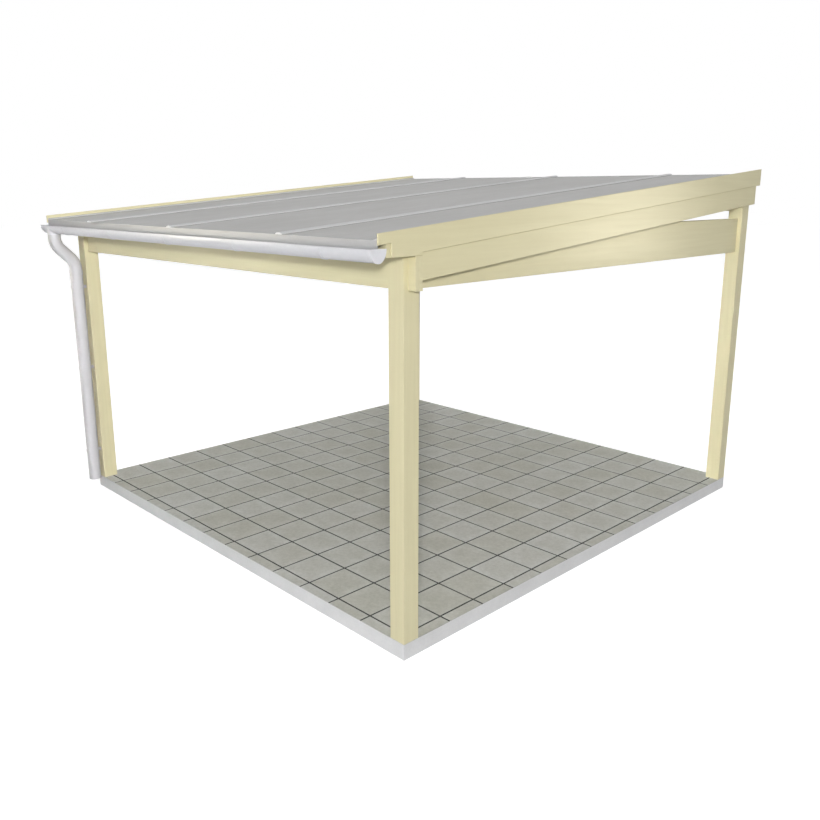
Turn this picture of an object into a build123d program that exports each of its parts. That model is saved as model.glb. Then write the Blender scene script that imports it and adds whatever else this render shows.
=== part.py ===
import math
import os

from build123d import *

os.makedirs("parts", exist_ok=True)

# Veranda frame: four posts on a slab, beams, sloping rafters, sheet roof, gutter and downpipe.
# Millimetres, +Z up, -Y is the low front with the gutter, +Y is the high back.
# The origin is the middle of the slab's underside, on the ground.

# Driving sizes of the slab and the timber
width = 4000.0
reach = 4000.0
slab_thick = 100.0
post_side = 115.0
clear_height = 2010.0
beam_thick = 50.0
beam_depth = 180.0
side_beam_rise = 96.0
pitch = 5.0
edge_rafter_thick = 46.0
edge_rafter_depth = 221.0
barge_thick = 12.0
barge_depth = 130.0
barge_lift = 15.0
rafter_thick = 58.0
rafter_depth = 145.0
gutter_board_thick = 28.0
arris = 3.0
tail_out = 134.0
nose_out = 90.0
nose_deep = 58.0
verge_back = 45.0

# Driving sizes of the roof
bar_pitch = 1235.0
sheet_thick = 16.0
seal_thick = 3.0
sheet_drop = 37.0
sheet_out = 80.0
sheet_back = 30.0
sheet_gap = 14.0
sheet_side_gap = 3.0
bar_wide = 60.0
bar_high = 11.0
bar_edge = 4.0
bar_web = 10.0
bar_end_thick = 2.0
edge_bar_wide = 30.0
top_seal_wide = 8.0
profile_wall = 2.0
profile_grip = 22.0
profile_play = 3.0
profile_drip = 44.0

# Driving sizes of the gutter and the downpipe
gutter_wide = 104.0
gutter_high = 68.0
gutter_bend = 40.0
gutter_wall = 2.5
gutter_gap = 8.0
gutter_drop = 40.0
bead_radius = 5.0
cap_thick = 3.0
cap_lip = 2.0
bracket_wide = 25.0
bracket_thick = 3.0
bracket_end = 350.0
bracket_lift = 25.0
bracket_under_bead = 2.0
pipe_radius = 50.0
pipe_wall = 2.5
pipe_in = 126.0
pipe_clear = 19.0
pipe_end = 100.0
outlet_long = 120.0
outlet_drop = 38.0
outlet_play = 0.5
outlet_hole = 35.0
saddle_thick = 3.0
saddle_high = 44.0
collar_drop = 8.0
neck_play = 0.5
neck_straight = 25.0
bend_radius = 136.0
bend_angle = 45.0
socket_grow = 3.0
socket_long = 45.0
socket_under = 10.0
clip_wide = 25.0
clip_thick = 3.0
clip_stem = 8.0
clip_foot = 30.0
low_clip = 250.0
middle_clip = 1000.0
top_clip_under_neck = 120.0

# Lines of the slab, posts and beams
half_w = width / 2
half_r = reach / 2
front = -half_r
back = half_r
post_x = half_w - post_side / 2
post_y = half_r - post_side / 2
beam_under = slab_thick + clear_height
front_beam_top = beam_under + beam_depth
beam_in = (post_side - beam_thick) / 2
beam_back_y = front + beam_in + beam_thick
rear_beam_front_y = back - beam_in - beam_thick

# Inner and outer faces of the barge boards, outside the edge rafters
verge_x = half_w + edge_rafter_thick
edge_x = verge_x + barge_thick

# Levels of the sloping pieces, each at the front of the slab
slope = math.tan(math.radians(pitch))
rise = math.cos(math.radians(pitch))
barge_under = front_beam_top + barge_lift - slope * post_side / 2
barge_top = barge_under + barge_depth / rise
sheet_top = barge_top - sheet_drop
sheet_under = sheet_top - sheet_thick / rise
rafter_top = sheet_under - seal_thick / rise
rafter_under = rafter_top - rafter_depth / rise
edge_rafter_under = rafter_top - edge_rafter_depth / rise


def level(y, start):
    return start + slope * (y - front)


# The inner rafters' notches bring the rear beam as far up into them as the front beam
heel = front_beam_top - level(beam_back_y, rafter_under)
rear_beam_top = level(rear_beam_front_y, rafter_under) + heel

# Lines of the eaves
tail_y = front - tail_out
nose_y = tail_y - nose_out
sheet_front_y = tail_y - sheet_out
sheet_back_y = back + sheet_back
gutter_board_y = tail_y - gutter_board_thick
gutter_back_y = gutter_board_y - gutter_gap
gutter_y = gutter_back_y - gutter_wide / 2
gutter_top = level(sheet_front_y, sheet_top) - gutter_drop
gutter_under = gutter_top - gutter_high
gutter_half = edge_x - cap_thick
bend_axis = gutter_high - gutter_bend
gutter_side = ((gutter_wide / 2) ** 2 + bend_axis**2 - gutter_bend**2) / (gutter_wide - 2 * gutter_bend)
pipe_x = pipe_in - edge_x
pipe_y = front - pipe_clear - pipe_radius

# Names of the glazing bars' lines across the roof
bar_lines = {"left": -bar_pitch, "middle": 0.0, "right": bar_pitch}


def board(name, outline, start, thick, ease=0.0):
    """A straight piece with this outline seen from the side, eased by a chamfer on both its faces."""
    with BuildPart() as piece:
        with BuildSketch(Plane.YZ.offset(start)):
            Polygon(*outline, align=None)
        extrude(amount=thick)
        if ease:
            chamfer(piece.faces().filter_by(Axis.X).edges(), length=ease)
    piece.part.label = name
    export_step(piece.part, f"parts/{name}.step")


def sloping(front_y, back_y, under, top):
    """Side outline of a piece with upright ends that follows the roof's slope."""
    return [
        (front_y, level(front_y, under)),
        (back_y, level(back_y, under)),
        (back_y, level(back_y, top)),
        (front_y, level(front_y, top)),
    ]


# The slab the posts stand on, flush with their outer faces
with BuildPart() as floor_slab:
    with BuildSketch(Plane.XY):
        Rectangle(width, reach)
    extrude(amount=slab_thick)
floor_slab.part.label = "floor_slab"
export_step(floor_slab.part, "parts/floor_slab.step")

# Posts, each forked at the head to take a beam
posts = {
    "front_left_post": (-post_x, -post_y, front_beam_top),
    "front_right_post": (post_x, -post_y, front_beam_top),
    "rear_left_post": (-post_x, post_y, rear_beam_top),
    "rear_right_post": (post_x, post_y, rear_beam_top),
}
for name, (x, y, top) in posts.items():
    with BuildPart() as post:
        with BuildSketch(Plane.XY.offset(slab_thick)):
            with Locations((x, y)):
                RectangleRounded(post_side, post_side, arris)
        extrude(amount=top - slab_thick)
        with BuildSketch(Plane.XY.offset(top - beam_depth)):
            with Locations((x, y)):
                Rectangle(post_side, beam_thick)
        extrude(amount=beam_depth, mode=Mode.SUBTRACT)
    post.part.label = name
    export_step(post.part, f"parts/{name}.step")

# The front beam runs through both posts, and its ends carry the edge rafters and barge boards
with BuildPart() as front_beam:
    with BuildSketch(Plane.YZ.offset(-edge_x)):
        with Locations((-post_y, front_beam_top - beam_depth / 2)):
            RectangleRounded(beam_thick, beam_depth, arris)
    extrude(amount=2 * edge_x)
front_beam.part.label = "front_beam"
export_step(front_beam.part, "parts/front_beam.step")

# The rear beam ends flush with the posts
with BuildPart() as rear_beam:
    with BuildSketch(Plane.YZ.offset(-half_w)):
        with Locations((post_y, rear_beam_top - beam_depth / 2)):
            RectangleRounded(beam_thick, beam_depth, arris)
    extrude(amount=width)
rear_beam.part.label = "rear_beam"
export_step(rear_beam.part, "parts/rear_beam.step")

# Level side beams between the front and rear posts, deeper than the front beam and up to the sheets in front
side_beam_depth = beam_depth + side_beam_rise
for name, x in {"left_side_beam": -post_x, "right_side_beam": post_x}.items():
    with BuildPart() as side_beam:
        with BuildSketch(Plane.XZ.offset(post_side - half_r)):
            with Locations((x, beam_under + side_beam_depth / 2)):
                RectangleRounded(beam_thick, side_beam_depth, arris)
        extrude(amount=reach - 2 * post_side)
    side_beam.part.label = name
    export_step(side_beam.part, f"parts/{name}.step")

# Edge rafters on the posts' outer faces, each with a seat over the end of the front beam
edge_rafter_outline = [
    (tail_y, level(tail_y, rafter_top)),
    (tail_y, front_beam_top),
    (beam_back_y, front_beam_top),
    (beam_back_y, level(beam_back_y, edge_rafter_under)),
    (back, level(back, edge_rafter_under)),
    (back, level(back, rafter_top)),
]
board("left_edge_rafter", edge_rafter_outline, -verge_x, edge_rafter_thick, arris)
board("right_edge_rafter", edge_rafter_outline, half_w, edge_rafter_thick, arris)

# Barge boards that cover the edge rafters and the sheets' outer edges, with a nose over the gutter's end
barge_outline = [
    (nose_y, level(nose_y, barge_top)),
    (nose_y, level(nose_y, barge_top) - nose_deep),
    (tail_y, level(tail_y, barge_top) - nose_deep),
    (tail_y, front_beam_top),
    (beam_back_y, front_beam_top),
    (beam_back_y, level(beam_back_y, barge_under)),
    (back + verge_back, level(back + verge_back, barge_under)),
    (back + verge_back, level(back + verge_back, barge_top)),
]
board("left_barge_board", barge_outline, -edge_x, barge_thick, arris)
board("right_barge_board", barge_outline, verge_x, barge_thick, arris)

# Inner rafters under the glazing bars, notched over the front and rear beams
rafter_outline = [
    (tail_y, level(tail_y, rafter_top)),
    (tail_y, front_beam_top),
    (beam_back_y, front_beam_top),
    (beam_back_y, level(beam_back_y, rafter_under)),
    (rear_beam_front_y, level(rear_beam_front_y, rafter_under)),
    (rear_beam_front_y, rear_beam_top),
    (back, rear_beam_top),
    (back, level(back, rafter_top)),
]
for side, line in bar_lines.items():
    board(f"{side}_rafter", rafter_outline, line - rafter_thick / 2, rafter_thick)

# Board across the rafter tails, which carries the gutter
gutter_board_outline = [
    (gutter_board_y, front_beam_top),
    (tail_y, front_beam_top),
    (tail_y, level(tail_y, rafter_top)),
    (gutter_board_y, level(gutter_board_y, rafter_top)),
]
board("gutter_board", gutter_board_outline, -verge_x, 2 * verge_x)

# Seal strips: the lower ones between rafters and sheets, on both sides of each bar's web and
# on the edge rafters, and the upper ones between the sheets and the rims of the bars
lower_seal_outline = sloping(gutter_board_y, back, rafter_top, sheet_under)
upper_seal_outline = sloping(
    sheet_front_y + profile_grip + profile_play,
    sheet_back_y - profile_grip - profile_play,
    sheet_top,
    sheet_top + seal_thick / rise,
)
lower_seal_wide = (rafter_thick - sheet_gap) / 2
seals = [
    (lower_seal_outline, -verge_x, edge_rafter_thick),
    (lower_seal_outline, half_w, edge_rafter_thick),
    (upper_seal_outline, -verge_x + edge_bar_wide - top_seal_wide, top_seal_wide),
    (upper_seal_outline, verge_x - edge_bar_wide, top_seal_wide),
]
for line in bar_lines.values():
    seals.append((lower_seal_outline, line - rafter_thick / 2, lower_seal_wide))
    seals.append((lower_seal_outline, line + sheet_gap / 2, lower_seal_wide))
    seals.append((upper_seal_outline, line - bar_wide / 2, top_seal_wide))
    seals.append((upper_seal_outline, line + bar_wide / 2 - top_seal_wide, top_seal_wide))
with BuildPart() as sheet_seals:
    for outline, start, wide in seals:
        with BuildSketch(Plane.YZ.offset(start)):
            Polygon(*outline, align=None)
        extrude(amount=wide)
sheet_seals.part.label = "sheet_seals"
export_step(sheet_seals.part, "parts/sheet_seals.step")

# Roof sheets, one in each bay
sheet_outline = sloping(sheet_front_y, sheet_back_y, sheet_under, sheet_top)
outer_sheet_wide = verge_x - sheet_side_gap - bar_pitch - sheet_gap / 2
inner_sheet_wide = bar_pitch - sheet_gap
board("left_outer_sheet", sheet_outline, -verge_x + sheet_side_gap, outer_sheet_wide)
board("left_inner_sheet", sheet_outline, -bar_pitch + sheet_gap / 2, inner_sheet_wide)
board("right_inner_sheet", sheet_outline, sheet_gap / 2, inner_sheet_wide)
board("right_outer_sheet", sheet_outline, bar_pitch + sheet_gap / 2, outer_sheet_wide)


# Closing profiles along the front and rear edges of the sheets, from barge board to barge board
def lips(edge_y, inward):
    """The two lips of a closing profile, from the end of the lower lip round to the end of the upper one."""
    grip_y = edge_y + inward * profile_grip
    return [
        (grip_y, level(grip_y, sheet_under) - profile_wall),
        (grip_y, level(grip_y, sheet_under)),
        (edge_y, level(edge_y, sheet_under)),
        (edge_y, level(edge_y, sheet_top)),
        (grip_y, level(grip_y, sheet_top)),
        (grip_y, level(grip_y, sheet_top) + profile_wall),
    ]


drip_z = level(sheet_front_y, sheet_top) - profile_drip
front_profile_outline = lips(sheet_front_y, 1) + [
    (sheet_front_y - profile_wall, level(sheet_front_y, sheet_top) + profile_wall),
    (sheet_front_y - profile_wall, drip_z),
    (sheet_front_y, drip_z),
    (sheet_front_y, level(sheet_front_y, sheet_under) - profile_wall),
]
rear_profile_outline = lips(sheet_back_y, -1) + [
    (sheet_back_y + profile_wall, level(sheet_back_y, sheet_top) + profile_wall),
    (sheet_back_y + profile_wall, level(sheet_back_y, sheet_under) - profile_wall),
]
board("front_profile", front_profile_outline, -verge_x, 2 * verge_x)
board("rear_profile", rear_profile_outline, -verge_x, 2 * verge_x)

# Glazing bars over the joints between sheets, drawn square to the slope: an arched cap on the
# upper seals, and under it a web down to the rafter that stops short of the closing profiles
bar_back_y = sheet_back_y + profile_wall
bar_front_y = sheet_front_y - profile_wall
bar_long = (bar_back_y - bar_front_y) / rise
web_in = (profile_wall + profile_grip + profile_play) / rise
towards_front = (0, -math.cos(math.radians(pitch)), -math.sin(math.radians(pitch)))


def bar_plane(x, forward):
    """Plane across a bar, on top of the sheets, this far forward of the bar's back end."""
    start = Plane(origin=(x, bar_back_y, level(bar_back_y, sheet_top)), x_dir=(1, 0, 0), z_dir=towards_front)
    return start.offset(forward)


def arched_cap():
    """Edges of a bar's cap, flat underneath and arched on top."""
    rim = seal_thick + bar_edge
    with BuildLine() as outline:
        Polyline((-bar_wide / 2, rim), (-bar_wide / 2, seal_thick), (bar_wide / 2, seal_thick), (bar_wide / 2, rim))
        ThreePointArc((bar_wide / 2, rim), (0, seal_thick + bar_high), (-bar_wide / 2, rim))
    return outline.edges()


for side, line in bar_lines.items():
    with BuildPart() as bar:
        with BuildSketch(bar_plane(line, 0)):
            make_face(arched_cap())
        extrude(amount=bar_long)
        with BuildSketch(bar_plane(line, web_in)):
            with Locations((0, -sheet_thick / 2)):
                Rectangle(bar_web, sheet_thick + 2 * seal_thick)
        extrude(amount=bar_long - 2 * web_in)
    bar.part.label = f"{side}_bar"
    export_step(bar.part, f"parts/{side}_bar.step")

# Plates that close the bars' ends
with BuildPart() as bar_ends:
    for line in bar_lines.values():
        for forward in (-bar_end_thick, bar_long):
            with BuildSketch(bar_plane(line, forward)):
                make_face(arched_cap())
            extrude(amount=bar_end_thick)
bar_ends.part.label = "bar_ends"
export_step(bar_ends.part, "parts/bar_ends.step")

# Edge bars over the outer edges of the sheets, half caps against the barge boards
for side, out in {"left": -1, "right": 1}.items():
    with BuildPart() as edge_bar:
        with BuildSketch(bar_plane(out * verge_x, 0)):
            with Locations((0, seal_thick)):
                Polygon((0, 0), (0, bar_high), (-out * edge_bar_wide, bar_edge), (-out * edge_bar_wide, 0), align=None)
        extrude(amount=bar_long)
    edge_bar.part.label = f"{side}_edge_bar"
    export_step(edge_bar.part, f"parts/{side}_edge_bar.step")


def trough(outside, top, mode=Mode.ADD):
    """Section across the gutter, this far outside its outer face and open at this level: two flat
    arcs for the sides and a tighter one for the bottom."""
    half = gutter_wide / 2 + outside
    across = (gutter_side - gutter_wide / 2) / (gutter_side - gutter_bend)
    down = bend_axis / (gutter_side - gutter_bend)
    meet_y = across * (gutter_bend + outside)
    meet_z = gutter_top - bend_axis - down * (gutter_bend + outside)
    under = gutter_top - gutter_high - outside
    with BuildLine() as outline:
        TangentArc((gutter_y - half, gutter_top), (gutter_y - meet_y, meet_z), tangent=(0, -1))
        ThreePointArc((gutter_y - meet_y, meet_z), (gutter_y, under), (gutter_y + meet_y, meet_z))
        TangentArc((gutter_y + half, gutter_top), (gutter_y + meet_y, meet_z), tangent=(0, -1))
        Polyline(
            (gutter_y + half, gutter_top),
            (gutter_y + half, gutter_top + cap_lip),
            (gutter_y - half, gutter_top + cap_lip),
            (gutter_y - half, gutter_top),
        )
    make_face(outline.edges(), mode=mode)
    with Locations((gutter_y, top)):
        Rectangle(2 * gutter_wide, gutter_wide, align=(Align.CENTER, Align.MIN), mode=Mode.SUBTRACT)


# The gutter: a deep rounded trough with a bead on its front rim and a hole for the outlet
outlet_radius = pipe_radius - pipe_wall - outlet_play
with BuildPart() as gutter:
    with BuildSketch(Plane.YZ.offset(-gutter_half)):
        trough(0, gutter_top)
        trough(-gutter_wall, gutter_top, mode=Mode.SUBTRACT)
        with Locations((gutter_y - gutter_wide / 2 + bead_radius, gutter_top - bead_radius)):
            Circle(bead_radius)
    extrude(amount=2 * gutter_half)
    with BuildSketch(Plane.XY.offset(gutter_under)):
        with Locations((pipe_x, gutter_y)):
            Circle(outlet_hole)
    extrude(amount=gutter_high, mode=Mode.SUBTRACT)
gutter.part.label = "gutter"
export_step(gutter.part, "parts/gutter.step")

# End caps of the gutter
with BuildPart() as gutter_caps:
    for start in (-gutter_half - cap_thick, gutter_half):
        with BuildSketch(Plane.YZ.offset(start)):
            trough(cap_lip, gutter_top + cap_lip)
        extrude(amount=cap_thick)
gutter_caps.part.label = "gutter_caps"
export_step(gutter_caps.part, "parts/gutter_caps.step")

# Brackets that hold the gutter to its board, each a strap with a plate behind it
end_bracket = half_w - bracket_end
bracket_lines = (-end_bracket, -end_bracket / 2, 0, end_bracket / 2, end_bracket)
strap_top = gutter_top - 2 * bead_radius - bracket_under_bead
plate_under = gutter_under + bracket_lift
with BuildPart() as gutter_brackets:
    for line in bracket_lines:
        with BuildSketch(Plane.YZ.offset(line - bracket_wide / 2)):
            with Locations((gutter_back_y, plate_under)):
                Rectangle(gutter_gap, strap_top - plate_under, align=Align.MIN)
            trough(bracket_thick, strap_top)
            trough(0, strap_top, mode=Mode.SUBTRACT)
        extrude(amount=bracket_wide)
gutter_brackets.part.label = "gutter_brackets"
export_step(gutter_brackets.part, "parts/gutter_brackets.step")

# Outlet under the gutter: a saddle with a collar, and below it the spigot the neck slips over
collar_under = gutter_under - collar_drop
spigot_end = gutter_under - outlet_drop
with BuildPart() as gutter_outlet:
    with BuildSketch(Plane.YZ.offset(pipe_x - outlet_long / 2)):
        trough(saddle_thick, gutter_under + saddle_high)
    extrude(amount=outlet_long)
    with BuildSketch(Plane.XY.offset(collar_under)):
        with Locations((pipe_x, gutter_y)):
            Circle(pipe_radius)
    extrude(amount=collar_drop + saddle_high)
    with BuildSketch(Plane.XY.offset(spigot_end)):
        with Locations((pipe_x, gutter_y)):
            Circle(outlet_radius)
            Circle(outlet_radius - pipe_wall, mode=Mode.SUBTRACT)
    extrude(amount=collar_under - spigot_end)
    with BuildSketch(Plane.XY.offset(spigot_end)):
        with Locations((pipe_x, gutter_y)):
            Circle(outlet_hole)
    extrude(amount=outlet_drop + saddle_high, mode=Mode.SUBTRACT)
    with BuildSketch(Plane.YZ.offset(pipe_x - outlet_long)):
        trough(0, gutter_top)
    extrude(amount=2 * outlet_long, mode=Mode.SUBTRACT)
gutter_outlet.part.label = "gutter_outlet"
export_step(gutter_outlet.part, "parts/gutter_outlet.step")

# Swan neck that brings the pipe back to the post with two equal bends
turn = math.radians(bend_angle)
bend_tangent = bend_radius * math.tan(turn / 2)
neck_top = collar_under - neck_play
upper_bend = neck_top - neck_straight
lower_bend = upper_bend - 2 * bend_tangent - (pipe_y - gutter_y) / math.tan(turn)
slant = (pipe_y - gutter_y) / math.sin(turn) - 2 * bend_tangent
neck_end = lower_bend - socket_long
slant_start = (
    pipe_x,
    gutter_y + bend_radius * (1 - math.cos(turn)),
    upper_bend - bend_radius * math.sin(turn),
)


def pipe_ring(plane, x=0.0, y=0.0):
    """Section of the pipe on this plane."""
    with BuildSketch(plane) as ring:
        with Locations((x, y)):
            Circle(pipe_radius)
            Circle(pipe_radius - pipe_wall, mode=Mode.SUBTRACT)
    return ring.sketch


with BuildPart() as swan_neck:
    extrude(pipe_ring(Plane.XY.offset(upper_bend), pipe_x, gutter_y), amount=neck_straight)
    revolve(
        pipe_ring(Plane.XY.offset(upper_bend), pipe_x, gutter_y),
        axis=Axis((pipe_x, gutter_y + bend_radius, upper_bend), (1, 0, 0)),
        revolution_arc=bend_angle,
    )
    extrude(
        pipe_ring(Plane(origin=slant_start, x_dir=(1, 0, 0), z_dir=(0, math.sin(turn), -math.cos(turn)))),
        amount=slant,
    )
    revolve(
        pipe_ring(Plane.XY.offset(lower_bend), pipe_x, pipe_y),
        axis=Axis((pipe_x, pipe_y - bend_radius, lower_bend), (1, 0, 0)),
        revolution_arc=bend_angle,
    )
    extrude(pipe_ring(Plane.XY.offset(neck_end), pipe_x, pipe_y), amount=socket_long)
swan_neck.part.label = "swan_neck"
export_step(swan_neck.part, "parts/swan_neck.step")

# Downpipe with a socket at its top
with BuildPart() as downpipe:
    extrude(pipe_ring(Plane.XY.offset(pipe_end), pipe_x, pipe_y), amount=neck_end - pipe_end)
    with BuildSketch(Plane.XY.offset(neck_end - socket_under)):
        with Locations((pipe_x, pipe_y)):
            Circle(pipe_radius + socket_grow)
            Circle(pipe_radius, mode=Mode.SUBTRACT)
    extrude(amount=socket_long)
downpipe.part.label = "downpipe"
export_step(downpipe.part, "parts/downpipe.step")

# Clips that hold the downpipe to the post: a ring with a stem and a foot
clip_levels = (slab_thick + low_clip, slab_thick + middle_clip, neck_end - top_clip_under_neck)
with BuildPart() as pipe_clips:
    for height in clip_levels:
        with BuildSketch(Plane.XY.offset(height)):
            with Locations((pipe_x, pipe_y)):
                Circle(pipe_radius + clip_thick)
            with Locations((pipe_x, (pipe_y + front) / 2)):
                Rectangle(clip_stem, front - pipe_y)
            with Locations((pipe_x, front - clip_thick / 2)):
                Rectangle(clip_foot, clip_thick)
            with Locations((pipe_x, pipe_y)):
                Circle(pipe_radius, mode=Mode.SUBTRACT)
        extrude(amount=clip_wide)
pipe_clips.part.label = "pipe_clips"
export_step(pipe_clips.part, "parts/pipe_clips.step")
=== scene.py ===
import math

import bmesh
import bpy
from mathutils import Matrix, Vector


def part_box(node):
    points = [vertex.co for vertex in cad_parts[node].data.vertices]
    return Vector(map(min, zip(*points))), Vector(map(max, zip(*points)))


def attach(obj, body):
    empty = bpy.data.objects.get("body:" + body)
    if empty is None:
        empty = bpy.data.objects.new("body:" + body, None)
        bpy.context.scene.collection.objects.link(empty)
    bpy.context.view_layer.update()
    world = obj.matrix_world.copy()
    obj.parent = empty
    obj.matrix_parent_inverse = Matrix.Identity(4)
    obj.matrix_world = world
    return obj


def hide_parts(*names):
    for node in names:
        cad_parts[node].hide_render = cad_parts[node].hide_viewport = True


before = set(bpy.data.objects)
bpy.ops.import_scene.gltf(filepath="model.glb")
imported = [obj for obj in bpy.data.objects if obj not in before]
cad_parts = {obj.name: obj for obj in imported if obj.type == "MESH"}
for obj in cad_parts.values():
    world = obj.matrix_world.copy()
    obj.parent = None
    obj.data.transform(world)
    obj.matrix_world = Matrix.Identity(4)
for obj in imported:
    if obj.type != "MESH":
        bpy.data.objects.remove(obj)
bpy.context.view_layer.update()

# The frame is in metres: +Z up, -Y the low front with the gutter, +X the right side.

# The tiled slab: its box comes from the frame, and its tiles are laid out from the left and back edges

slab_low, slab_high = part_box("floor_slab")
slab_top = slab_high[2]

tile_pitch = 0.3008
first_joint = 0.310
joint_wide = 0.013
joint_deep = 0.0015
tile_edge = 0.001
level_tolerance = 0.00001

# The roof sheets' inner walls, as the scale of a wave: 9.8 puts one stripe in every 32 mm

wall_stripe_scale = 9.8

# How far a finish is drawn out along its piece, as the share of its scale that is left there

grain_draw = 0.035
metal_draw = 0.05
dust_draw = 0.3

# Studio light, as the level that white comes out at when it faces the light

horizon_level = 0.05
overhead_level = 0.58
overhead_share = 2 / 3
key_level = 0.75
front_level = 0.12
fill_level = 0.30
glint_tint = (1.0, 0.93, 0.72)
white = (1.0, 1.0, 1.0, 1.0)

# Studio floor: how much of it shows the shadow, and its share of the key lamp far from the frame

floor_half = 60.0
floor_drop = 0.0005
floor_tone = 0.5
shadow_share = 0.6
far_floor_share = 0.05

# Camera of the photograph, with its turns in degrees and its lens in millimetres

camera_place = (4.9957, -4.8738, 2.6104)
camera_tilt = 76.772
camera_turn = 45.723
camera_lens = 35.694
camera_sensor = 36.0
camera_rise = -0.0342
camera_reach = 200.0


# Small helpers


def tone(red, green, blue):
    """A colour as a paint card gives it, 0 to 255, in the linear values that shaders take."""

    def linear(value):
        value = value / 255
        return value / 12.92 if value <= 0.04045 else ((value + 0.055) / 1.055) ** 2.4

    return (linear(red), linear(green), linear(blue), 1.0)


def mesh_from(bm, name):
    """Turns a finished bmesh into a mesh."""
    mesh = bpy.data.meshes.new(name)
    bm.to_mesh(mesh)
    bm.free()
    return mesh


def piece(name, mesh, materials, stands_for=()):
    """A finished mesh becomes a piece of the model that rides with the frame."""
    obj = bpy.data.objects.new(name, mesh)
    bpy.context.scene.collection.objects.link(obj)
    for material in materials:
        mesh.materials.append(material)
    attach(obj, "root")
    if stands_for:
        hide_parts(*stands_for)


def dress(node, material):
    """Puts a material on every slot of a node kept from the frame."""
    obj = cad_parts[node]
    if not obj.data.materials:
        obj.data.materials.append(material)
    for slot in obj.material_slots:
        slot.material = material


def add_node(tree, kind, **settings):
    """Adds a shader node; settings are its properties, and inputs go by name in a dict."""
    made = tree.nodes.new(kind)
    for key, value in settings.items():
        if key == "inputs":
            for socket, content in value.items():
                made.inputs[socket].default_value = content
        else:
            setattr(made, key, value)
    return made


def math_node(tree, operation, first, second=None, third=None, clamp=False):
    """A math node fed by links or plain numbers; returns its output."""
    made = add_node(tree, "ShaderNodeMath", operation=operation, use_clamp=clamp)
    for index, value in enumerate((first, second, third)):
        if value is None:
            continue
        if isinstance(value, (int, float)):
            made.inputs[index].default_value = value
        else:
            tree.links.new(value, made.inputs[index])
    return made.outputs[0]


def weighed(tree, first, second, share):
    """Adds up two values, with this share of the first and the rest of the second."""
    rest = math_node(tree, "MULTIPLY", second, 1 - share)
    return math_node(tree, "MULTIPLY_ADD", first, share, rest)


def sharpened(tree, value, gain, middle=0.5):
    """Spreads a value about this middle, which comes out at a half, and keeps it from 0 to 1."""
    return math_node(tree, "MULTIPLY_ADD", value, gain, 0.5 - gain * middle, clamp=True)


def object_place(tree, axis="", draw=1.0):
    """Object coordinates; a draw under 1 stretches a pattern out along the axis X, Y or Z."""
    scale = [draw if name == axis else 1.0 for name in "XYZ"]
    coordinates = add_node(tree, "ShaderNodeTexCoord")
    mapping = add_node(tree, "ShaderNodeMapping", inputs={"Scale": scale})
    tree.links.new(coordinates.outputs["Object"], mapping.inputs["Vector"])
    return mapping.outputs["Vector"]


def noise(tree, place, scale=5.0, detail=2.0, roughness=0.5, distortion=0.0):
    """Adds a noise texture at a place."""
    inputs = {"Scale": scale, "Detail": detail, "Roughness": roughness, "Distortion": distortion}
    made = add_node(tree, "ShaderNodeTexNoise", inputs=inputs)
    tree.links.new(place, made.inputs["Vector"])
    return made


def blend_colour(tree, mask, low, high):
    """Mixes two colours by a mask."""
    mix = add_node(tree, "ShaderNodeMix", data_type="RGBA")
    mix.inputs["A"].default_value = low
    mix.inputs["B"].default_value = high
    tree.links.new(mask, mix.inputs["Factor"])
    return mix.outputs["Result"]


def blend_linked(tree, mask, low, high):
    """Mixes two linked colours by a mask."""
    mix = add_node(tree, "ShaderNodeMix", data_type="RGBA")
    tree.links.new(low, mix.inputs["A"])
    tree.links.new(high, mix.inputs["B"])
    tree.links.new(mask, mix.inputs["Factor"])
    return mix.outputs["Result"]


def multiply_colours(tree, first, second):
    """Multiplies two linked colours."""
    mix = add_node(tree, "ShaderNodeMix", data_type="RGBA", blend_type="MULTIPLY")
    mix.inputs["Factor"].default_value = 1.0
    tree.links.new(first, mix.inputs["A"])
    tree.links.new(second, mix.inputs["B"])
    return mix.outputs["Result"]


# Shader groups

number = "NodeSocketFloat"
vector = "NodeSocketVector"


def group_with(name, inputs, outputs):
    """A new shader group with these inputs and outputs; returns it and its two end nodes."""
    group = bpy.data.node_groups.new(name, "ShaderNodeTree")
    for socket, kind in inputs.items():
        group.interface.new_socket(socket, in_out="INPUT", socket_type=kind)
    for socket, kind in outputs.items():
        group.interface.new_socket(socket, in_out="OUTPUT", socket_type=kind)
    return group, add_node(group, "NodeGroupInput"), add_node(group, "NodeGroupOutput")


def mottle_group():
    """Broad and fine mottling of a surface: a mask of both, and the fine part as a height."""
    ends = {"Vector": vector, "Broad Scale": number, "Fine Scale": number}
    group, inside, out = group_with("mottle", ends, {"Mask": number, "Height": number})
    broad = noise(group, inside.outputs["Vector"], detail=3.0, roughness=0.55)
    fine = noise(group, inside.outputs["Vector"], detail=5.0, roughness=0.65)
    group.links.new(inside.outputs["Broad Scale"], broad.inputs["Scale"])
    group.links.new(inside.outputs["Fine Scale"], fine.inputs["Scale"])
    both = weighed(group, broad.outputs["Fac"], fine.outputs["Fac"], share=0.55)
    group.links.new(sharpened(group, both, gain=2.2), out.inputs["Mask"])
    group.links.new(fine.outputs["Fac"], out.inputs["Height"])
    return group


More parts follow.
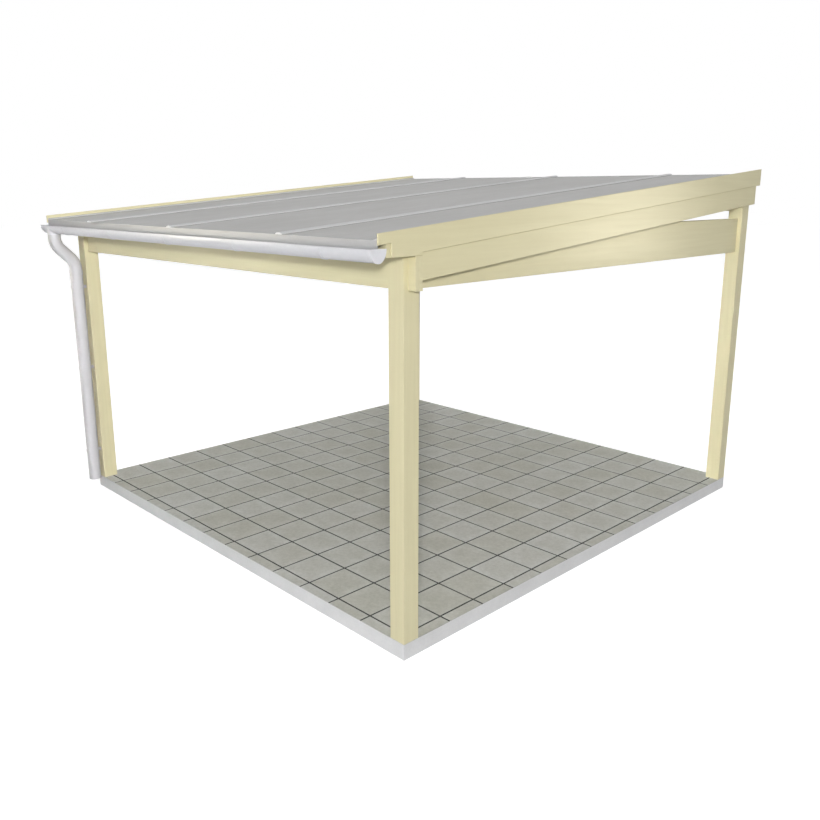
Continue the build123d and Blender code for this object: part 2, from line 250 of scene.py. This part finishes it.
def grain_group():
    """Planed timber under paint, its grain along the squeezed axis of the vector: streaks and pores."""
    group, inside, out = group_with("grain", {"Vector": vector}, {"Tone": number, "Relief": number})
    patches = noise(group, inside.outputs["Vector"], scale=3.0, detail=2.0, roughness=0.5)
    streaks = noise(group, inside.outputs["Vector"], scale=46.0, detail=4.0, distortion=0.4)
    pores = noise(group, inside.outputs["Vector"], scale=240.0, detail=2.0, roughness=0.6)
    both = weighed(group, patches.outputs["Fac"], streaks.outputs["Fac"], share=0.5)
    relief = weighed(group, streaks.outputs["Fac"], pores.outputs["Fac"], share=0.6)
    group.links.new(sharpened(group, both, gain=2.4), out.inputs["Tone"])
    group.links.new(relief, out.inputs["Relief"])
    return group


def tile_group():
    """Square tiles laid out from a corner: how near the rim a point lies, and a chance value for its tile."""
    ends = {"Vector": vector, "Corner": vector, "Pitch": number}
    group, inside, out = group_with("tiles", ends, {"Rim": number, "Chance": number})
    shift = add_node(group, "ShaderNodeVectorMath", operation="SUBTRACT")
    scale = add_node(group, "ShaderNodeVectorMath", operation="SCALE")
    whole = add_node(group, "ShaderNodeVectorMath", operation="FLOOR")
    part = add_node(group, "ShaderNodeVectorMath", operation="FRACTION")
    centred = add_node(group, "ShaderNodeVectorMath", operation="SUBTRACT", inputs={1: (0.5, 0.5, 0.5)})
    off_centre = add_node(group, "ShaderNodeVectorMath", operation="ABSOLUTE")
    split = add_node(group, "ShaderNodeSeparateXYZ")
    chance = add_node(group, "ShaderNodeTexWhiteNoise", noise_dimensions="2D")
    group.links.new(inside.outputs["Vector"], shift.inputs[0])
    group.links.new(inside.outputs["Corner"], shift.inputs[1])
    group.links.new(shift.outputs[0], scale.inputs[0])
    group.links.new(math_node(group, "DIVIDE", 1.0, inside.outputs["Pitch"]), scale.inputs["Scale"])
    group.links.new(scale.outputs[0], whole.inputs[0])
    group.links.new(scale.outputs[0], part.inputs[0])
    group.links.new(part.outputs[0], centred.inputs[0])
    group.links.new(centred.outputs[0], off_centre.inputs[0])
    group.links.new(off_centre.outputs[0], split.inputs[0])
    group.links.new(whole.outputs[0], chance.inputs["Vector"])
    rim = math_node(group, "MAXIMUM", split.outputs["X"], split.outputs["Y"])
    group.links.new(rim, out.inputs["Rim"])
    group.links.new(chance.outputs["Value"], out.inputs["Chance"])
    return group


mottle = mottle_group()
grain = grain_group()
tiling = tile_group()


# Materials


def new_material(name, roughness, coat=0.0, specular=0.5):
    """A material with its Principled shader set; returns the material, its tree and the shader."""
    material = bpy.data.materials.new(name)
    material.use_nodes = True
    tree = material.node_tree
    shader = tree.nodes["Principled BSDF"]
    shader.inputs["Roughness"].default_value = roughness
    shader.inputs["Coat Weight"].default_value = coat
    shader.inputs["Specular IOR Level"].default_value = specular
    return material, tree, shader


def mottling(tree, place, broad, fine):
    """Places the mottle group in a material."""
    made = add_node(tree, "ShaderNodeGroup", node_tree=mottle)
    made.inputs["Broad Scale"].default_value = broad
    made.inputs["Fine Scale"].default_value = fine
    tree.links.new(place, made.inputs["Vector"])
    return made


def roughness_from(tree, shader, mask, low, high):
    """The shader's roughness follows a mask, from its value at 0 to its value at 1."""
    spread = math_node(tree, "MULTIPLY_ADD", mask, high - low, low)
    tree.links.new(spread, shader.inputs["Roughness"])


def bump_to(tree, shader, height, distance, strength):
    """A height drives the shader's normal."""
    bump = add_node(tree, "ShaderNodeBump", inputs={"Strength": strength, "Distance": distance})
    tree.links.new(height, bump.inputs["Height"])
    tree.links.new(bump.outputs["Normal"], shader.inputs["Normal"])


def painted_timber(name, axis):
    """Cream paint on planed timber, its grain drawn out along the axis."""
    material, tree, shader = new_material(name, roughness=0.42, specular=0.15)
    wood = add_node(tree, "ShaderNodeGroup", node_tree=grain)
    tree.links.new(object_place(tree, axis, grain_draw), wood.inputs["Vector"])
    colour = blend_colour(tree, wood.outputs["Tone"], tone(216, 208, 170), tone(226, 219, 182))
    tree.links.new(colour, shader.inputs["Base Color"])
    roughness_from(tree, shader, wood.outputs["Tone"], low=0.44, high=0.34)
    bump_to(tree, shader, wood.outputs["Relief"], distance=0.0004, strength=0.35)
    return material


def floor_tile():
    """Speckled stone tile: a darker middle, a paler rim, and each tile a little unlike the next."""
    material, tree, shader = new_material("floor_tile", roughness=0.62, specular=0.08)
    place = object_place(tree)
    spots = mottling(tree, place, broad=7.0, fine=70.0)
    grit = mottling(tree, place, broad=45.0, fine=190.0)
    cells = add_node(tree, "ShaderNodeGroup", node_tree=tiling)
    cells.inputs["Corner"].default_value = (slab_low[0] + first_joint, slab_high[1] - first_joint, 0.0)
    cells.inputs["Pitch"].default_value = tile_pitch
    tree.links.new(place, cells.inputs["Vector"])
    raggedness = 0.22
    ragged = math_node(tree, "MULTIPLY_ADD", spots.outputs["Mask"], raggedness, cells.outputs["Rim"])
    rim = sharpened(tree, ragged, gain=3.2, middle=0.484375)
    middle = blend_colour(tree, spots.outputs["Mask"], tone(196, 196, 189), tone(210, 210, 205))
    pale = blend_colour(tree, spots.outputs["Mask"], tone(205, 206, 202), tone(219, 220, 217))
    stone = blend_linked(tree, rim, middle, pale)
    tint = blend_colour(tree, cells.outputs["Chance"], tone(244, 243, 238), white)
    speckle = blend_colour(tree, grit.outputs["Mask"], tone(222, 222, 219), white)
    toned = multiply_colours(tree, stone, tint)
    tree.links.new(multiply_colours(tree, toned, speckle), shader.inputs["Base Color"])
    roughness_from(tree, shader, spots.outputs["Mask"], low=0.70, high=0.52)
    bump_to(tree, shader, spots.outputs["Height"], distance=0.0012, strength=0.4)
    return material


def roof_sheet():
    """Grey twin-wall sheet: its inner walls show as faint stripes down the slope, under a film of dust."""
    material, tree, shader = new_material("roof_sheet", roughness=0.45, specular=0.35)
    stripes = add_node(tree, "ShaderNodeTexWave", wave_type="BANDS", bands_direction="X", wave_profile="SIN")
    stripes.inputs["Scale"].default_value = wall_stripe_scale
    tree.links.new(object_place(tree), stripes.inputs["Vector"])
    dust = mottling(tree, object_place(tree, "Y", dust_draw), broad=4.0, fine=30.0)
    walls = blend_colour(tree, stripes.outputs["Fac"], tone(190, 189, 188), tone(197, 196, 195))
    film = blend_colour(tree, dust.outputs["Mask"], tone(243, 243, 241), white)
    tree.links.new(multiply_colours(tree, walls, film), shader.inputs["Base Color"])
    roughness_from(tree, shader, dust.outputs["Mask"], low=0.52, high=0.40)
    bump_to(tree, shader, stripes.outputs["Fac"], distance=0.0002, strength=0.3)
    return material


def plain_mottled(name, low, high, roughness, broad, fine, depth, coat=0.0, axis="", draw=1.0):
    """An even finish, faintly mottled between two colours and bumped to this depth."""
    material, tree, shader = new_material(name, roughness=roughness, coat=coat)
    spots = mottling(tree, object_place(tree, axis, draw), broad, fine)
    colour = blend_colour(tree, spots.outputs["Mask"], low, high)
    tree.links.new(colour, shader.inputs["Base Color"])
    roughness_from(tree, shader, spots.outputs["Mask"], low=roughness + 0.05, high=roughness - 0.04)
    bump_to(tree, shader, spots.outputs["Height"], distance=depth, strength=0.5)
    return material


def mill_metal(name, low, high, axis):
    """Bare pressed aluminium, with fine lines along the axis."""
    grit = {"broad": 12.0, "fine": 160.0, "depth": 0.0001}
    return plain_mottled(name, low, high, roughness=0.42, axis=axis, draw=metal_draw, **grit)


def rain_plastic(name, low, high, roughness, coat=0.0):
    """Smooth grey plastic of the gutter and the pipe."""
    return plain_mottled(name, low, high, roughness, broad=5.0, fine=50.0, depth=0.0001, coat=coat)


timber_across = painted_timber("cream_timber_across", "X")
timber_down_slope = painted_timber("cream_timber_down_slope", "Y")
timber_upright = painted_timber("cream_timber_upright", "Z")
tile = floor_tile()
grout = plain_mottled(
    "dark_grout",
    low=tone(40, 42, 40),
    high=tone(56, 58, 55),
    roughness=0.85,
    broad=9.0,
    fine=90.0,
    depth=0.0004,
)
concrete = plain_mottled(
    "pale_concrete",
    low=tone(216, 216, 217),
    high=tone(230, 230, 231),
    roughness=0.75,
    broad=6.0,
    fine=60.0,
    depth=0.0006,
)
end_plate = plain_mottled(
    "white_end_plate",
    low=tone(232, 232, 234),
    high=tone(240, 240, 242),
    roughness=0.4,
    broad=8.0,
    fine=60.0,
    depth=0.0001,
)
rubber = plain_mottled(
    "grey_seal",
    low=tone(150, 150, 149),
    high=tone(164, 164, 163),
    roughness=0.7,
    broad=9.0,
    fine=90.0,
    depth=0.0002,
)
sheet = roof_sheet()
bar_metal = mill_metal("mill_aluminium", tone(205, 205, 206), tone(215, 215, 216), "Y")
profile_metal = mill_metal("profile_aluminium", tone(176, 176, 177), tone(188, 188, 189), "X")
gutter_grey = rain_plastic("grey_rainware", tone(216, 216, 221), tone(226, 226, 231), 0.36, coat=0.1)
pipe_grey = rain_plastic("grey_pipe", tone(203, 202, 205), tone(212, 211, 214), 0.40)

for post in ("front_left_post", "front_right_post", "rear_left_post", "rear_right_post"):
    dress(post, timber_upright)
for beam in ("front_beam", "rear_beam", "gutter_board"):
    dress(beam, timber_across)
for side in ("left", "right"):
    for kind in ("side_beam", "edge_rafter", "barge_board", "rafter"):
        dress(f"{side}_{kind}", timber_down_slope)
    for kind in ("outer_sheet", "inner_sheet"):
        dress(f"{side}_{kind}", sheet)
dress("middle_rafter", timber_down_slope)
dress("sheet_seals", rubber)
for bar in ("left_bar", "middle_bar", "right_bar", "left_edge_bar", "right_edge_bar"):
    dress(bar, bar_metal)
for profile in ("front_profile", "rear_profile"):
    dress(profile, profile_metal)
dress("bar_ends", end_plate)
for gutter_part in ("gutter", "gutter_caps", "gutter_brackets", "gutter_outlet"):
    dress(gutter_part, gutter_grey)
for pipe_part in ("swan_neck", "downpipe", "pipe_clips"):
    dress(pipe_part, pipe_grey)


# The tiled slab


def add_block(bm, low, high):
    """Adds an upright block between its lowest and its highest corner."""
    scaling = Matrix.Diagonal((*(high - low), 1.0))
    bmesh.ops.create_cube(bm, size=1.0, matrix=Matrix.Translation((low + high) / 2) @ scaling)


def tile_rows(length):
    """How far from an edge of the slab each row of tiles starts and ends, over this length."""
    joints = []
    joint = first_joint
    while joint < length - joint_wide:
        joints.append(joint)
        joint += tile_pitch
    starts = [0.0] + [joint + joint_wide / 2 for joint in joints]
    ends = [joint - joint_wide / 2 for joint in joints] + [length]
    return list(zip(starts, ends))


def slab_tiles():
    """All the tiles as one mesh: upright blocks with eased top edges."""
    bm = bmesh.new()
    bottom = slab_top - 2 * joint_deep
    for start_x, end_x in tile_rows(slab_high[0] - slab_low[0]):
        for start_y, end_y in tile_rows(slab_high[1] - slab_low[1]):
            low = Vector((slab_low[0] + start_x, slab_high[1] - end_y, bottom))
            high = Vector((slab_low[0] + end_x, slab_high[1] - start_y, slab_top))
            add_block(bm, low, high)
    top = slab_top - level_tolerance
    rims = [edge for edge in bm.edges if all(vert.co.z > top for vert in edge.verts)]
    bmesh.ops.bevel(bm, geom=rims, offset=tile_edge, segments=2, profile=0.5, affect="EDGES", material=-1)
    return mesh_from(bm, "slab_tiles")


def slab_body():
    """The concrete under the tiles; its top face is the grout in the joints."""
    bm = bmesh.new()
    add_block(bm, Vector(slab_low), Vector((slab_high[0], slab_high[1], slab_top - joint_deep)))
    for face in bm.faces:
        face.material_index = 1 if face.normal.z > 0.5 else 0
    return mesh_from(bm, "slab_body")


piece("slab_body", slab_body(), [concrete, grout], ["floor_slab"])
piece("slab_tiles", slab_tiles(), [tile])


# Stage: backdrop, floor, lamps and camera


def white_unless_lighting(tree, plain, shown):
    """Camera, glossy and transmission rays see the second shader, the rest the first."""
    path = add_node(tree, "ShaderNodeLightPath")
    seen = math_node(tree, "MAXIMUM", path.outputs["Is Camera Ray"], path.outputs["Is Glossy Ray"])
    seen_at_all = math_node(tree, "MAXIMUM", seen, path.outputs["Is Transmission Ray"])
    mix = add_node(tree, "ShaderNodeMixShader")
    tree.links.new(seen_at_all, mix.inputs["Fac"])
    tree.links.new(plain, mix.inputs[1])
    tree.links.new(shown, mix.inputs[2])
    return mix.outputs[0]


def studio_world():
    """A plain world that looks white, and lights more from overhead than from the horizon."""
    world = bpy.data.worlds.new("studio")
    bpy.context.scene.world = world
    world.use_nodes = True
    tree = world.node_tree
    tree.nodes.clear()
    coordinates = add_node(tree, "ShaderNodeTexCoord")
    split = add_node(tree, "ShaderNodeSeparateXYZ")
    tree.links.new(coordinates.outputs["Generated"], split.inputs[0])
    upward = math_node(tree, "MAXIMUM", split.outputs["Z"], 0.0)
    strength = math_node(tree, "MULTIPLY_ADD", upward, overhead_level - horizon_level, horizon_level)
    light = add_node(tree, "ShaderNodeBackground", inputs={"Color": white})
    tree.links.new(strength, light.inputs["Strength"])
    backdrop = add_node(tree, "ShaderNodeBackground", inputs={"Color": white, "Strength": 1.0})
    out = add_node(tree, "ShaderNodeOutputWorld")
    shown = white_unless_lighting(tree, light.outputs[0], backdrop.outputs[0])
    tree.links.new(shown, out.inputs["Surface"])


def studio_floor():
    """A pale floor that looks white to the camera where nothing shades it, and shows the frame's shadow."""
    bm = bmesh.new()
    bmesh.ops.create_grid(bm, x_segments=1, y_segments=1, size=floor_half)
    floor = bpy.data.objects.new("studio_floor", mesh_from(bm, "studio_floor"))
    floor.location.z = -floor_drop
    bpy.context.scene.collection.objects.link(floor)
    material = bpy.data.materials.new("studio_floor")
    material.use_nodes = True
    tree = material.node_tree
    tree.nodes.clear()
    ambient = horizon_level + (overhead_level - horizon_level) * overhead_share
    lit = ambient + key_level * far_floor_share
    glow_strength = (1 - shadow_share * floor_tone * lit) / (1 - shadow_share)
    pale = (floor_tone, floor_tone, floor_tone, 1.0)
    matt = add_node(tree, "ShaderNodeBsdfDiffuse", inputs={"Color": pale})
    glow = add_node(tree, "ShaderNodeEmission", inputs={"Color": white, "Strength": glow_strength})
    mix = add_node(tree, "ShaderNodeMixShader", inputs={"Fac": shadow_share})
    out = add_node(tree, "ShaderNodeOutputMaterial")
    tree.links.new(glow.outputs[0], mix.inputs[1])
    tree.links.new(matt.outputs[0], mix.inputs[2])
    shown = white_unless_lighting(tree, matt.outputs[0], mix.outputs[0])
    tree.links.new(shown, out.inputs["Surface"])
    floor.data.materials.append(material)


def aimed(name, lamp, place, aim):
    """Sets a lamp in the scene, turned from its place towards its aim."""
    obj = bpy.data.objects.new(name, lamp)
    obj.location = place
    obj.rotation_euler = (Vector(aim) - Vector(place)).to_track_quat("-Z", "Y").to_euler()
    obj.visible_camera = False
    bpy.context.scene.collection.objects.link(obj)
    return obj


def steady_lamp(name, place, soft, level):
    """A lamp of this soft radius that lights far and near alike: white that faces it gets this level."""
    lamp = bpy.data.lights.new(name, "POINT")
    lamp.shadow_soft_size = soft
    lamp.energy = level * 4 * math.pi**2
    lamp.use_nodes = True
    tree = lamp.node_tree
    falloff = add_node(tree, "ShaderNodeLightFalloff", inputs={"Strength": 1.0})
    tree.links.new(falloff.outputs["Constant"], tree.nodes["Emission"].inputs["Strength"])
    return aimed(name, lamp, place, aim=(0.0, 0.0, 0.0))


def glint(name, place, aim, wide, power):
    """A square lamp that shows only as a soft, warm highlight."""
    lamp = bpy.data.lights.new(name, "AREA")
    lamp.color = glint_tint
    lamp.size = wide
    lamp.energy = power
    aimed(name, lamp, place, aim).visible_diffuse = False


def photo_camera():
    """The camera of the photograph: near the right front corner, a little above the low eaves."""
    camera = bpy.data.cameras.new("photo_camera")
    camera.sensor_width = camera_sensor
    camera.lens = camera_lens
    camera.shift_y = camera_rise
    camera.clip_end = camera_reach
    obj = bpy.data.objects.new("photo_camera", camera)
    obj.location = camera_place
    obj.rotation_euler = (math.radians(camera_tilt), 0.0, math.radians(camera_turn))
    bpy.context.scene.collection.objects.link(obj)
    bpy.context.scene.camera = obj


studio_world()
studio_floor()
steady_lamp("key", place=(5.25, -5.15, 3.15), soft=0.25, level=key_level)
steady_lamp("front", place=(-1.5, -9.0, 2.6), soft=1.2, level=front_level)
fill = steady_lamp("fill", place=(-6.5, 7.0, 2.6), soft=1.2, level=fill_level)
fill.visible_glossy = False
glint("right_glint", place=(3.55, 2.1, 2.37), aim=(2.05, -0.3, 2.45), wide=1.0, power=66.0)
glint("front_glint", place=(-3.6, -4.87, 1.79), aim=(0.7, -2.0, 2.2), wide=1.5, power=80.0)
photo_camera()

scene = bpy.context.scene
scene.view_settings.view_transform = "Standard"
